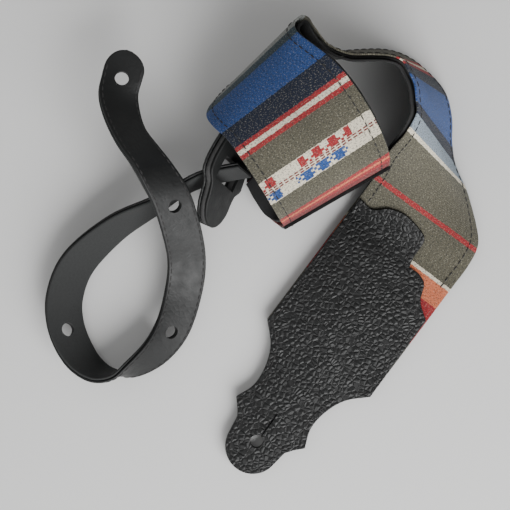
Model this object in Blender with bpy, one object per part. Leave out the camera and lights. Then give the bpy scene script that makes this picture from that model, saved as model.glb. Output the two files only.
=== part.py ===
"""Guitar strap lying in a loose pile: a woven strap with leather tabs and a narrow leather tail.

One ribbon builder lays every flat layer along a hand-chosen route, so the face cloth, the web,
the backing, the leather tabs and the seams all follow the same surface. Units are metres, +Z up.
"""
import math

import bmesh
import bpy
import numpy as np
from mathutils import Matrix, Vector

MM = 0.001
GAP = 0.3 * MM  # clearance kept between neighbouring pieces

# Main strap
STRAP_WIDTH = 63.5 * MM
CLOTH_THICK = 0.9 * MM
WEB_THICK = 1.2 * MM
BACKING_THICK = 1.2 * MM

# Leather tabs
TAB_LEATHER = 1.4 * MM
FRONT_NECK_LENGTH = 67.5 * MM  # from the shoulders to the round end
FRONT_LAP = 84.0 * MM  # how far the leather laps over the cloth
REAR_NECK_LENGTH = 67.5 * MM
REAR_LAP = 46.0 * MM
NECK_END_RADIUS = 13.6 * MM
CLOTH_TUCK = 6.0 * MM  # cloth end inside the tab, past the shoulders

# Button hole in both ends
BUTTON_HOLE = 6.6 * MM
BUTTON_INSET = 16.5 * MM  # from the round end to the hole's centre
SLIT_LENGTH = 17.0 * MM
SLIT_WIDTH = 0.9 * MM

# Tail
TAIL_WIDTH = 19.0 * MM
TAIL_PLY = 1.35 * MM
TAIL_HOLE = 6.6 * MM
TAIL_HOLE_INSET = 13.5 * MM
TAIL_HOLE_PITCH = 70.0 * MM
TAIL_HOLES = 4
SLOT_CLEARANCE = 5.0 * MM
SLOT_WIDTH = 12.0 * MM

# Seams
THREAD = 0.6 * MM
SEAM_INSET = 2.6 * MM
CUT_DEPTH = 30.0 * MM  # how far a cutter reaches through the leather
STEP = 4.5 * MM  # spacing of the cross sections along a route

SEAM_AT = 0.85  # an edge seam's place, as a share of the half width
COLUMNS = (-1.0, -SEAM_AT, -SEAM_AT / 2, 0.0, SEAM_AT / 2, SEAM_AT, 1.0)
WEB_COLUMNS = tuple(c / SEAM_AT for c in COLUMNS[1:-1])
TAIL_COLUMNS = (-1.0, -SEAM_AT, 0.0, SEAM_AT, 1.0)
SHOULDER_GAP = 1.0 * MM  # between the cloth's end and the filler in the tab

LAY = STRAP_WIDTH / (63.5 * MM)  # the pile grows and shrinks with the strap's width
STACK = BACKING_THICK + GAP + WEB_THICK + GAP + CLOTH_THICK
BACKING_TOP = -STACK / 2 + BACKING_THICK
WEB_LOW = BACKING_TOP + GAP
CLOTH_LOW = STACK / 2 - CLOTH_THICK
FACE_LOW = STACK / 2 + GAP
FACE_TOP = FACE_LOW + TAB_LEATHER
TAIL_STACK = 2 * TAIL_PLY + GAP

# Where the front tab lies: its shoulder line's middle, and the way the strap runs from it
TAB_ORIGIN = Vector((31.3, -50.8, 0.0)) * MM
TAB_HEADING = math.radians(53.13)
FLAT_LENGTH = 70.0 * MM  # the strap lies flat this far past the shoulders

# Main route after the flat stretch: x, y and height of the middle in mm, then the direction
# that the strap's left edge points in, as azimuth and elevation in degrees
MAIN_ROUTE = [
    (79.3, 13.6, 4.3, 144, 5),
    (84.2, 23.0, 9.6, 145, 13),
    (85.4, 33.0, 16.0, 145, 28),
    (85.8, 43.3, 23.5, 144.7, 46),
    (84.6, 53.9, 27.8, 142, 59),
    (83.4, 63.0, 29.0, 148, 63),
    (82.9, 72.2, 29.5, 160, 65),
    (80.0, 80.8, 30.0, 174, 67),
    (74.7, 87.5, 30.8, 188, 72),
    (67.6, 92.0, 31.0, 207, 74),
    (58.5, 94.0, 31.2, 223, 75),
    (45.5, 94.0, 31.8, 235, 78),
    (32.5, 95.0, 32.6, 260, 86),
    (22.0, 97.0, 32.6, 40, 80),
    (13.0, 97.0, 31.5, 36, 64),
    (5.5, 94.0, 32.5, 38, 50),
    (0.0, 88.0, 36.5, 39, 40),
    (-0.5, 82.0, 44.0, 38, 32),
    (4.5, 76.0, 50.8, 36, 27),
    (12.0, 69.0, 56.0, 34, 25),
    (20.0, 58.5, 57.5, 33, 23),
    (28.0, 46.5, 54.0, 33, 23),
    (34.5, 35.0, 46.0, 32, 25),
    (36.8, 29.5, 34.0, 30, 29),
    (35.0, 30.0, 22.0, 30, 26),
    (30.5, 35.5, 14.4, 31, 20),
    (24.0, 45.0, 14.6, 35, 21),
    (15.0, 54.8, 19.0, 45, 31),
    (4.0, 59.0, 20.2, 62, 46),
    (-6.0, 53.6, 20.2, 98, 60),
    (-12.5, 42.5, 20.2, 136, 66),
    (-16.0, 33.0, 19.2, 150, 68),
    (-19.2, 24.0, 17.8, 152, 68),
    (-22.8, 14.0, 16.4, 152, 68),
]

# Tail route, from its inner end to its round tip: the same five numbers
TAIL_ROUTE = [
    (-5.0, 40.8, 20.0, 148, 68),
    (-14.0, 39.2, 20.0, 148, 68),
    (-24.5, 36.6, 20.3, 144, 73),
    (-35.0, 31.8, 20.0, 135, 78),
    (-48.0, 24.0, 17.5, 126, 72),
    (-68.0, 13.0, 12.0, 122, 55),
    (-86.0, -3.4, 9.0, 150, 38),
    (-93.0, -20.0, 8.0, 172, 32),
    (-92.4, -34.8, 8.0, 190, 34),
    (-86.5, -48.0, 8.6, 214, 44),
    (-78.4, -56.0, 9.6, 238, 62),
    (-69.5, -58.3, 10.2, 260, 84),
    (-60.0, -55.5, 10.0, 110, 66),
    (-48.4, -47.0, 9.2, 128, 46),
    (-40.0, -34.7, 8.4, 148, 32),
    (-35.0, -18.3, 9.5, 165, 25),
    (-33.0, -4.0, 15.0, 180, 20),
    (-34.4, 9.5, 25.0, 195, 17),
    (-39.0, 26.0, 36.5, 207, 20),
    (-45.0, 37.0, 41.5, 213, 32),
    (-51.0, 46.0, 42.5, 218, 42),
    (-57.5, 55.0, 40.0, 212, 44),
    (-62.0, 65.0, 36.0, 194, 36),
    (-64.2, 75.0, 33.0, 180, 22),
    (-62.5, 84.0, 31.5, 170, 6),
    (-59.0, 96.0, 31.5, 160, 0),
]


def direction(azimuth, elevation):
    """Unit vector from two angles in degrees."""
    a, e = math.radians(azimuth), math.radians(elevation)
    return np.array([math.cos(a) * math.cos(e), math.sin(a) * math.cos(e), math.sin(e)])


class Route:
    """A smooth strip surface: a middle line, and the direction of the left edge along it."""

    def __init__(self, middles, lefts):
        self.middles = np.array(middles, float)
        self.lefts = np.array(lefts, float)
        fine_m = self._smooth(self.middles)
        fine_l = self._smooth(self.lefts)
        chord = np.linalg.norm(np.diff(fine_m, axis=0), axis=1)
        self.along = np.concatenate([[0.0], np.cumsum(chord)])
        self.fine_m, self.fine_l = fine_m, fine_l
        self.length = self.along[-1]
        self.rows = []

    def share_rows(self, marks):
        """Fix the cross sections that every layer uses, so that the layers nest."""
        even = np.linspace(0.0, self.length, round(self.length / STEP) + 1)
        spare = [d for d in even if min(abs(d - m) for m in marks) > 0.3 * STEP]
        self.rows = sorted([*spare, *marks])

    @staticmethod
    def _smooth(points, parts=16):
        """Catmull-Rom curve through the points."""
        ends = np.vstack([2 * points[0] - points[1], points, 2 * points[-1] - points[-2]])
        rows = []
        for a, b, c, d in zip(ends[:-3], ends[1:-2], ends[2:-1], ends[3:]):
            for t in np.arange(parts) / parts:
                rows.append(0.5 * (2 * b + (c - a) * t + (2 * a - 5 * b + 4 * c - d) * t**2
                                   + (3 * b - a - 3 * c + d) * t**3))
        rows.append(points[-1])
        return np.array(rows)

    def point(self, s):
        """Middle of the strip at the distance s."""
        return np.array([np.interp(s, self.along, self.fine_m[:, k]) for k in range(3)])

    def frame(self, s):
        """Middle, heading, left direction and face normal at the distance s."""
        reach = 2.5 * MM
        ahead = self.point(min(s + reach, self.length)) - self.point(max(s - reach, 0.0))
        heading = ahead / np.linalg.norm(ahead)
        left = np.array([np.interp(s, self.along, self.fine_l[:, k]) for k in range(3)])
        left /= np.linalg.norm(left)
        normal = np.cross(heading, left)
        return self.point(s), heading, left, normal / np.linalg.norm(normal)

    def lay(self, s, across, height):
        """World place of a point given along, across and above the surface."""
        middle, _, left, normal = self.frame(s)
        return middle + left * across + normal * height

    def nearest(self, x, y, first=0.0):
        """Distance along the route of the place nearest to a plan point."""
        on = self.along >= first
        gaps = np.hypot(self.fine_m[on, 0] - x, self.fine_m[on, 1] - y)
        return self.along[on][gaps.argmin()]


def main_route():
    """The strap's middle surface, from the front tab's round end to the rear tab's."""
    run = np.array([math.cos(TAB_HEADING), math.sin(TAB_HEADING), 0.0])
    left = np.array([-run[1], run[0], 0.0])
    start = np.array(TAB_ORIGIN) * LAY + np.array([0, 0, STACK / 2])
    middles, lefts = [], []
    for u in np.linspace(-FRONT_NECK_LENGTH, FLAT_LENGTH, 10):
        middles.append(start + run * u)
        lefts.append(left)
    for x, y, z, azimuth, elevation in MAIN_ROUTE:
        edge = direction(azimuth, elevation)
        lift = STACK / 2 * math.cos(math.radians(elevation))
        middles.append(np.array([x, y, z]) * MM * LAY + np.array([0, 0, lift]))
        lefts.append(edge)
    return Route(middles, lefts)


def tail_route():
    """The tail's middle surface, from its inner end to its round tip."""
    middles = [np.array(row[:3]) * MM * LAY for row in TAIL_ROUTE]
    return Route(middles, [direction(*row[3:]) for row in TAIL_ROUTE])


def sections(route, start, end):
    """The route's shared cross sections from start to end, both ends included."""
    inner = [d for d in route.rows if start + 0.2 * MM < d < end - 0.2 * MM]
    return [start, *inner, end]


def make_object(name, mesh_builder, colour, roughness):
    """Turn a bmesh into a named object with its own Principled material."""
    mesh = bpy.data.meshes.new(name)
    bmesh.ops.recalc_face_normals(mesh_builder, faces=mesh_builder.faces)
    mesh_builder.to_mesh(mesh)
    mesh_builder.free()
    obj = bpy.data.objects.new(name, mesh)
    PARTS.objects.link(obj)
    material = bpy.data.materials.new(name)
    material.use_nodes = True
    shader = material.node_tree.nodes["Principled BSDF"]
    shader.inputs["Base Color"].default_value = (*colour, 1.0)
    shader.inputs["Roughness"].default_value = roughness
    shader.inputs["Metallic"].default_value = 0.0
    mesh.materials.append(material)
    return obj


def ribbon(name, route, distances, across, low, high, colour, roughness=0.7):
    """Closed strip between two heights along the route's normal.

    across gives the offsets of the strip's columns from the middle at a distance.
    """
    builder = bmesh.new()
    bottoms, tops = [], []
    for s in distances:
        middle, _, left, normal = route.frame(s)
        line = [middle + left * w for w in across(s)]
        bottoms.append([builder.verts.new(p + normal * low) for p in line])
        tops.append([builder.verts.new(p + normal * high) for p in line])
    last = len(bottoms[0]) - 1
    for k in range(len(bottoms) - 1):
        for grid, turned in ((bottoms, True), (tops, False)):
            for j in range(last):
                a, b, c, d = grid[k][j], grid[k][j + 1], grid[k + 1][j + 1], grid[k + 1][j]
                for corners in ((a, d, c), (a, c, b)):
                    builder.faces.new(corners if turned else corners[::-1])
        for j in (0, last):
            a, b = bottoms[k][j], tops[k][j]
            c, d = tops[k + 1][j], bottoms[k + 1][j]
            builder.faces.new((a, b, c))
            builder.faces.new((a, c, d))
    for k in (0, -1):
        for j in range(last):
            a, b = bottoms[k][j], bottoms[k][j + 1]
            builder.faces.new((a, b, tops[k][j + 1]))
            builder.faces.new((a, tops[k][j + 1], tops[k][j]))
    return make_object(name, builder, colour, roughness)


def columns(half, shares=COLUMNS):
    """Offsets of the columns at any distance, for a half width that may change."""
    return lambda s: [half(s) * c for c in shares]


def thread_columns(centre):
    """Offsets of a thread's two edges."""
    return lambda s: [centre(s) - THREAD / 2, centre(s) + THREAD / 2]


def constant(value):
    """A function of the distance that always gives the same offset."""
    return lambda s: value


def neck_half_width(from_end, neck_length, shoulder):
    """Half width of a tab's neck at a distance from its round end."""
    radius = NECK_END_RADIUS
    if from_end < radius:
        return max(math.sqrt(max(radius**2 - (radius - from_end) ** 2, 0.0)), 2.2 * MM)
    knots = [radius, 0.28 * neck_length, 0.34 * neck_length, 0.72 * neck_length, neck_length]
    widths = [radius, 15.0 * MM, 20.2 * MM, 18.6 * MM, shoulder]
    return float(np.interp(from_end, knots, widths))


def tab_outline():
    """Front tab's leather outline as (along, across) points, across positive to the left."""
    half = STRAP_WIDTH / 2 - 0.2 * MM
    n = FRONT_NECK_LENGTH
    r = NECK_END_RADIUS
    one_side = [(0.0, half), (-0.13 * n, half - 8.6 * MM), (-0.28 * n, half - 13.0 * MM),
                (-0.44 * n, half - 14.0 * MM), (-0.585 * n, half - 10.5 * MM),
                (-0.64 * n, half - 14.0 * MM), (-0.70 * n, half - 17.0 * MM)]
    arc = [(-n + r + r * math.cos(math.radians(a)), r * math.sin(math.radians(a)))
           for a in range(105, 256, 15)]
    lobes = [(46.5, -0.985), (52.3, -0.74), (60.2, -0.62), (62.8, -0.45), (62.6, -0.28),
             (68.0, -0.24), (79.7, -0.20), (83.0, 0.02), (84.2, 0.30), (81.5, 0.55),
             (76.2, 0.74), (77.0, 0.99)]
    scale = FRONT_LAP / (84.2 * MM)
    top = [(u * MM * scale, w * half) for u, w in lobes]
    left_side = one_side
    right_side = [(u, -w) for u, w in reversed(one_side)]
    return left_side + arc + right_side + top


def laid_plate(name, route, outline, low, high, colour, roughness):
    """Plate with the given outline, split on the shared sections and laid on the route."""
    builder = bmesh.new()
    ring = [builder.verts.new((u + FRONT_NECK_LENGTH, w, low)) for u, w in outline]
    builder.faces.new(ring)
    bmesh.ops.triangulate(builder, faces=builder.faces[:])
    bend = FRONT_NECK_LENGTH + FLAT_LENGTH / 2
    reach = FRONT_NECK_LENGTH + max(u for u, _ in outline)
    for s in [bend] + [row for row in route.rows if bend < row < reach]:
        split(builder, (s, 0, 0), (1, 0, 0), 0.0)
    for share in COLUMNS[1:-1] if reach > bend else []:
        split(builder, (0, share * STRAP_WIDTH / 2, 0), (0, 1, 0), bend)
    bmesh.ops.dissolve_degenerate(builder, edges=builder.edges[:], dist=0.05 * MM)
    bmesh.ops.triangulate(builder, faces=builder.faces[:])
    raise_sheet(builder, high - low)
    for vertex in builder.verts:
        vertex.co = route.lay(*vertex.co)
    return make_object(name, builder, colour, roughness)


def split(builder, place, way, start):
    """Split the faces beyond a distance along the route with a plane."""
    faces = [f for f in builder.faces if f.calc_center_median().x > start]
    geom = faces + list({e for f in faces for e in f.edges}) + list({v for f in faces for v in f.verts})
    bmesh.ops.bisect_plane(builder, geom=geom, plane_co=place, plane_no=way, dist=1e-6)


def raise_sheet(builder, height):
    """Close a flat sheet into a plate: a copy above it, and a wall round the rim."""
    twins = {v: builder.verts.new((v.co.x, v.co.y, v.co.z + height)) for v in builder.verts[:]}
    faces = builder.faces[:]
    rims = [loop for face in faces for loop in face.loops if loop.edge.is_boundary]
    walls = [(loop.vert, loop.link_loop_next.vert) for loop in rims]
    for face in faces:
        builder.faces.new([twins[v] for v in face.verts])
    for one, two in walls:
        builder.faces.new((two, one, twins[one]))
        builder.faces.new((two, twins[one], twins[two]))
    for face in faces:
        face.normal_flip()


def cutter(name, centre, x_axis, z_axis, size, round_hole=False):
    """A box or a cylinder that cuts through leather along z_axis."""
    builder = bmesh.new()
    if round_hole:
        bmesh.ops.create_cone(builder, cap_ends=True, segments=20, radius1=size[0] / 2,
                              radius2=size[0] / 2, depth=size[2])
    else:
        bmesh.ops.create_cube(builder, size=1.0)
        bmesh.ops.scale(builder, verts=builder.verts, vec=size)
    z = Vector(z_axis).normalized()
    x = Vector(x_axis).normalized()
    y = z.cross(x).normalized()
    x = y.cross(z)
    turn = Matrix((x, y, z)).transposed().to_4x4()
    bmesh.ops.transform(builder, matrix=Matrix.Translation(Vector(centre)) @ turn, verts=builder.verts)
    mesh = bpy.data.meshes.new(name)
    builder.to_mesh(mesh)
    builder.free()
    obj = bpy.data.objects.new(name, mesh)
    CUTTERS.objects.link(obj)
    obj.hide_render = True
    obj.display_type = "WIRE"
    return obj


def cut(pieces, tool):
    """Cut one tool out of several pieces."""
    for piece in pieces:
        modifier = piece.modifiers.new(tool.name, "BOOLEAN")
        modifier.operation = "DIFFERENCE"
        modifier.object = tool


LEATHER = (0.012, 0.012, 0.013)
LINING = (0.022, 0.021, 0.020)
CLOTH = (0.12, 0.115, 0.085)
WEB = (0.05, 0.05, 0.05)
LINEN_THREAD = (0.02, 0.02, 0.02)


def strap_layers(route, cloth_from, cloth_to):
    """Face cloth, inner web and backing."""
    half = STRAP_WIDTH / 2
    rows = sections(route, cloth_from, cloth_to)
    full, web = columns(constant(half)), columns(constant(half * SEAM_AT), WEB_COLUMNS)
    ribbon("woven_face", route, rows, full, CLOTH_LOW, STACK / 2, CLOTH, 0.9)
    ribbon("inner_web", route, rows, web, WEB_LOW, WEB_LOW + WEB_THICK, WEB, 0.8)
    ribbon("suede_backing", route, rows, full, -STACK / 2, BACKING_TOP, LINING, 0.95)


def edge_seams(route, seam_from, seam_to):
    """One row of thread along each long edge of the cloth."""
    for side, sign in (("left", 1), ("right", -1)):
        at = constant(sign * SEAM_AT * STRAP_WIDTH / 2)
        ribbon(side + "_edge_seam", route, sections(route, seam_from, seam_to),
               thread_columns(at), FACE_LOW, FACE_LOW + THREAD, LINEN_THREAD, 0.6)


def inset_outline(outline, inset):
    """The outline moved inwards by a seam's inset, as a closed path."""
    points = np.array(outline)
    before, after = np.roll(points, 1, axis=0), np.roll(points, -1, axis=0)
    one = (points - before) / np.linalg.norm(points - before, axis=1)[:, None]
    two = (after - points) / np.linalg.norm(after - points, axis=1)[:, None]
    mean = one + two
    mean /= np.linalg.norm(mean, axis=1)[:, None]
    inward = np.stack([-mean[:, 1], mean[:, 0]], axis=1)
    return points + inward * inset


def seam_loop(name, route, outline, inset, height):
    """Closed loop of thread that lies on the front tab inside its outline."""
    outer = inset_outline(outline, inset)
    inner = inset_outline(outline, inset + THREAD)
    builder = bmesh.new()
    rings = []
    count = len(outer)
    for k in range(count):
        span = np.linalg.norm(outer[(k + 1) % count] - outer[k])
        parts = max(1, round(span / STEP))
        for t in np.arange(parts) / parts:
            (u0, w0), (u1, w1) = (e[k] * (1 - t) + e[(k + 1) % count] * t for e in (outer, inner))
            places = ((u0, w0, 0.0), (u1, w1, 0.0), (u1, w1, THREAD), (u0, w0, THREAD))
            rings.append([builder.verts.new(route.lay(u + FRONT_NECK_LENGTH, w, height + h))
                          for u, w, h in places])
    for one, two in zip(rings, rings[1:] + rings[:1]):
        for k in range(4):
            builder.faces.new((one[k], one[(k + 1) % 4], two[(k + 1) % 4], two[k]))
    return make_object(name, builder, LINEN_THREAD, 0.6)


def front_tab(route):
    """Leather tab at the front: face, filler, lining and border seam, with its button hole."""
    outline = tab_outline()
    neck = [(u, w) for u, w in outline if u <= 0.0]
    face = laid_plate("front_tab_face", route, outline, FACE_LOW, FACE_TOP, LEATHER, 0.45)
    filler = laid_plate("front_tab_filler", route, neck, WEB_LOW, STACK / 2, LINING, 0.8)
    lining = laid_plate("front_tab_lining", route, neck, -STACK / 2, BACKING_TOP, LEATHER, 0.6)
    seam_loop("front_tab_seam", route, outline, SEAM_INSET, FACE_TOP + GAP)
    run = Vector((math.cos(TAB_HEADING), math.sin(TAB_HEADING), 0.0))
    hole = Vector(route.lay(BUTTON_INSET, 0.0, 0.0))
    layers = [face, filler, lining]
    cut(layers, cutter("front_hole", hole, run, (0, 0, 1), (BUTTON_HOLE, 0, CUT_DEPTH), True))
    slit = hole + run * (SLIT_LENGTH / 2)
    cut(layers, cutter("front_slit", slit, run, (0, 0, 1), (SLIT_LENGTH, SLIT_WIDTH, CUT_DEPTH)))


def rear_tab(route, slot_at, slot_length):
    """Leather tab at the back: face, filler, lining and two seams, with the tail's slot."""
    end = route.length
    shoulder = end - REAR_NECK_LENGTH
    half = STRAP_WIDTH / 2 - 0.2 * MM

    def edge(s):
        if s <= shoulder:
            return half
        return neck_half_width(end - s, REAR_NECK_LENGTH, half)

    lap = sections(route, shoulder - REAR_LAP, end)
    neck = sections(route, shoulder + SHOULDER_GAP, end)
    full = columns(edge)
    face = ribbon("rear_tab_face", route, lap, full, FACE_LOW, FACE_TOP, LEATHER, 0.45)
    filler = ribbon("rear_tab_filler", route, neck, full, WEB_LOW, STACK / 2, LINING, 0.8)
    lining = ribbon("rear_tab_lining", route, neck, full, -STACK / 2, BACKING_TOP, LEATHER, 0.6)
    seam_rows = sections(route, shoulder - REAR_LAP + SEAM_INSET, end - NECK_END_RADIUS)
    for side, sign in (("left", 1), ("right", -1)):
        at = thread_columns(lambda s, sign=sign: sign * SEAM_AT * edge(s))
        ribbon("rear_tab_%s_seam" % side, route, seam_rows, at,
               FACE_TOP + GAP, FACE_TOP + GAP + THREAD, LINEN_THREAD, 0.6)
    middle, heading, across, normal = route.frame(slot_at)
    slot = cutter("tail_slot", middle, across, normal, (slot_length, SLOT_WIDTH, CUT_DEPTH))
    cut([face, filler, lining], slot)


def tail(route):
    """Two-ply leather tail with a seam along each edge and a row of button holes."""
    end = route.length
    half = TAIL_WIDTH / 2

    def edge(s):
        back = min(end - s, half)
        return max(math.sqrt(max(half**2 - (half - back) ** 2, 0.0)), 1.6 * MM)

    rows = sections(route, 0.0, end)
    full = columns(edge, TAIL_COLUMNS)
    plies = [
        ribbon("tail_face", route, rows, full, GAP / 2, TAIL_STACK / 2, LEATHER, 0.4),
        ribbon("tail_lining", route, rows, full, -TAIL_STACK / 2, -GAP / 2, LINING, 0.7),
    ]
    seam_rows = sections(route, SEAM_INSET, end - half)
    for side, sign in (("left", 1), ("right", -1)):
        at = thread_columns(constant(sign * half * SEAM_AT))
        ribbon("tail_%s_seam" % side, route, seam_rows, at, TAIL_STACK / 2 + GAP,
               TAIL_STACK / 2 + GAP + THREAD, LINEN_THREAD, 0.6)
    for k in range(TAIL_HOLES):
        s = end - TAIL_HOLE_INSET - k * TAIL_HOLE_PITCH
        middle, heading, _, normal = route.frame(s)
        tool = cutter("tail_hole_%d" % (k + 1), middle, heading, normal,
                      (TAIL_HOLE, 0, CUT_DEPTH / 4), True)
        cut(plies, tool)


def centre_on_origin():
    """Move everything so that the base of the bounding box is centred on the origin."""
    bpy.context.view_layer.update()
    graph = bpy.context.evaluated_depsgraph_get()
    corners = []
    for obj in PARTS.objects:
        mesh = obj.evaluated_get(graph).to_mesh()
        corners += [obj.matrix_world @ v.co for v in mesh.vertices]
    points = np.array(corners)
    low, high = points.min(axis=0), points.max(axis=0)
    shift = Matrix.Translation((-(low[0] + high[0]) / 2, -(low[1] + high[1]) / 2, -low[2]))
    for obj in [*PARTS.objects, *CUTTERS.objects]:
        obj.data.transform(shift)
    return shift


def main():
    """Build the strap."""
    route = main_route()
    tail_line = tail_route()
    end = route.length
    shoulder = end - REAR_NECK_LENGTH
    tip = [NECK_END_RADIUS * f for f in (1.0, 0.75, 0.5, 0.3, 0.15, 0.05)]
    bends = [REAR_NECK_LENGTH * f for f in (0.28, 0.34, 0.72)]
    marks = [FRONT_NECK_LENGTH + GAP, shoulder, shoulder - REAR_LAP]
    route.share_rows(marks + [end - d for d in tip + bends])
    round_end = (1.0, 0.75, 0.5, 0.3, 0.15, 0.05)
    tail_line.share_rows([tail_line.length - TAIL_WIDTH / 2 * f for f in round_end])
    strap_layers(route, FRONT_NECK_LENGTH + GAP, end - REAR_NECK_LENGTH)
    edge_seams(route, FRONT_NECK_LENGTH + FRONT_LAP + 2 * GAP,
               end - REAR_NECK_LENGTH - REAR_LAP - 2 * GAP)
    front_tab(route)
    crossing = tail_line.point(tail_line.nearest(-14.0 * MM * LAY, 39.2 * MM * LAY))
    slot_at = route.nearest(crossing[0], crossing[1], end - REAR_NECK_LENGTH)
    rear_tab(route, slot_at, TAIL_WIDTH + SLOT_CLEARANCE)
    tail(tail_line)
    centre_on_origin()


for old in list(bpy.data.objects):
    bpy.data.objects.remove(old, do_unlink=True)
PARTS = bpy.data.collections.new("guitar_strap")
CUTTERS = bpy.data.collections.new("cutters")
bpy.context.scene.collection.children.link(PARTS)
bpy.context.scene.collection.children.link(CUTTERS)
main()
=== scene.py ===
"""Looks of a guitar strap that lies in a loose pile.

Each layer is laid flat in its own pattern (along, across, height) and carried onto a route, so the
woven stripes, the leather grain and the stitches all follow the cloth. Units are metres, +Z up.
"""
from __future__ import annotations

import logging
import math
from dataclasses import dataclass
from enum import Enum
from typing import Callable, Iterable, Sequence

import bmesh
import bpy
import numpy as np
from mathutils import Matrix, Vector

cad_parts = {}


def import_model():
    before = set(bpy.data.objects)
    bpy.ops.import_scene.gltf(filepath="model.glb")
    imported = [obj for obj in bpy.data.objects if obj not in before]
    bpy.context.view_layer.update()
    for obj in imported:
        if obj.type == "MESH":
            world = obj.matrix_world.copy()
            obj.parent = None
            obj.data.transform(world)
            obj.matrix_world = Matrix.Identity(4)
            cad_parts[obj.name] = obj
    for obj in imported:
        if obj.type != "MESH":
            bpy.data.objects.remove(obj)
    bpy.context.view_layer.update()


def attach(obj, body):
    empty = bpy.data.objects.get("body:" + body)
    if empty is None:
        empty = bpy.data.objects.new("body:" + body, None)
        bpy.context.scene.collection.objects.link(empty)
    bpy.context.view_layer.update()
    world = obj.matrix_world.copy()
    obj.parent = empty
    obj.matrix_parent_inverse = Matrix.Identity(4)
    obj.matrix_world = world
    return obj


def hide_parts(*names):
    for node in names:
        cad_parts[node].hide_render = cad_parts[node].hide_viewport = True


LOG = logging.getLogger("guitar_strap")
MM = 0.001
PILE_SHIFT = np.array([-3.759, -0.447, 0.473]) * MM  # moves the layout so that the pile is centred
SHARP = math.radians(50)  # edges sharper than this stay crisp
LEATHER_TRIM = 0.2 * MM  # how far the leather stops short of the strap's edge
THREAD_LIFT = 0.02 * MM  # height of a stitch's middle above the leather


class Body(Enum):
    """The rigid groups of the part."""

    STRAP = "strap"
    TAIL = "tail"


class Slot(Enum):
    """The record's material slots."""

    CLOTH = "woven_cloth"
    WEB = "web"
    SUEDE = "suede"
    TAB = "tab_leather"
    TAIL = "tail_leather"
    THREAD = "thread"


@dataclass(frozen=True)
class StrapSizes:
    """Sizes of the main strap's layers."""

    width: float = 63.5 * MM
    cloth: float = 0.9 * MM
    web: float = 1.2 * MM
    backing: float = 1.2 * MM
    gap: float = 0.3 * MM
    seam_at: float = 0.85

    @property
    def stack(self) -> float:
        """Thickness of the three layers together."""
        return self.cloth + self.web + self.backing + 2 * self.gap


@dataclass(frozen=True)
class TabSizes:
    """Sizes of the two leather tabs."""

    leather: float = 1.4 * MM
    neck: float = 67.5 * MM
    front_lap: float = 84.0 * MM
    rear_lap: float = 46.0 * MM
    end_radius: float = 13.6 * MM
    hole: float = 6.6 * MM
    hole_inset: float = 16.5 * MM
    slit: float = 17.0 * MM
    slit_width: float = 0.9 * MM
    seam_inset: float = 2.6 * MM


@dataclass(frozen=True)
class TailSizes:
    """Sizes of the tail."""

    width: float = 19.0 * MM
    ply: float = 1.35 * MM
    gap: float = 0.3 * MM
    hole: float = 6.6 * MM
    inset: float = 13.5 * MM
    pitch: float = 70.0 * MM
    holes: int = 4
    slot_clearance: float = 5.0 * MM
    slot_width: float = 12.0 * MM


@dataclass(frozen=True)
class StitchSizes:
    """Sizes of one stitch and of the row it belongs to."""

    length: float = 2.7 * MM
    pitch: float = 3.6 * MM
    diameter: float = 0.62 * MM


# Layout: where the front tab lies, where the slot is, and the stations of both routes. A station
# is the middle's x, y and height in mm, then the left edge's azimuth and elevation in degrees.
TAB_ORIGIN = np.array([31.3, -50.8, 0.0]) * MM
TAB_HEADING = math.radians(53.13)
FLAT_LENGTH = 70.0 * MM
SLOT_PLACE = np.array([-14.0, 39.2]) * MM
MAIN_ROUTE = [
    (79.3, 13.6, 4.3, 144, 5),
    (84.2, 23.0, 9.6, 145, 13),
    (85.4, 33.0, 16.0, 145, 28),
    (85.8, 43.3, 23.5, 144.7, 46),
    (84.6, 53.9, 27.8, 142, 59),
    (83.4, 63.0, 29.0, 148, 63),
    (82.9, 72.2, 29.5, 160, 65),
    (80.0, 80.8, 30.0, 174, 67),
    (74.7, 87.5, 30.8, 188, 72),
    (67.6, 92.0, 31.0, 207, 74),
    (58.5, 94.0, 31.2, 223, 75),
    (45.5, 94.0, 31.8, 235, 78),
    (32.5, 95.0, 32.6, 260, 86),
    (22.0, 97.0, 32.6, 40, 80),
    (13.0, 97.0, 31.5, 36, 64),
    (5.5, 94.0, 32.5, 38, 50),
    (0.0, 88.0, 36.5, 39, 40),
    (-0.5, 82.0, 44.0, 38, 32),
    (4.5, 76.0, 50.8, 36, 27),
    (12.0, 69.0, 56.0, 34, 25),
    (20.0, 58.5, 57.5, 33, 23),
    (28.0, 46.5, 54.0, 33, 23),
    (34.5, 35.0, 46.0, 32, 25),
    (36.8, 29.5, 34.0, 30, 29),
    (35.0, 30.0, 22.0, 30, 26),
    (30.5, 35.5, 14.4, 31, 20),
    (24.0, 45.0, 14.6, 35, 21),
    (15.0, 54.8, 19.0, 45, 31),
    (4.0, 59.0, 20.2, 62, 46),
    (-6.0, 53.6, 20.2, 98, 60),
    (-12.5, 42.5, 20.2, 136, 66),
    (-16.0, 33.0, 19.2, 150, 68),
    (-19.2, 24.0, 17.8, 152, 68),
    (-22.8, 14.0, 16.4, 152, 68),
]

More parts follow.
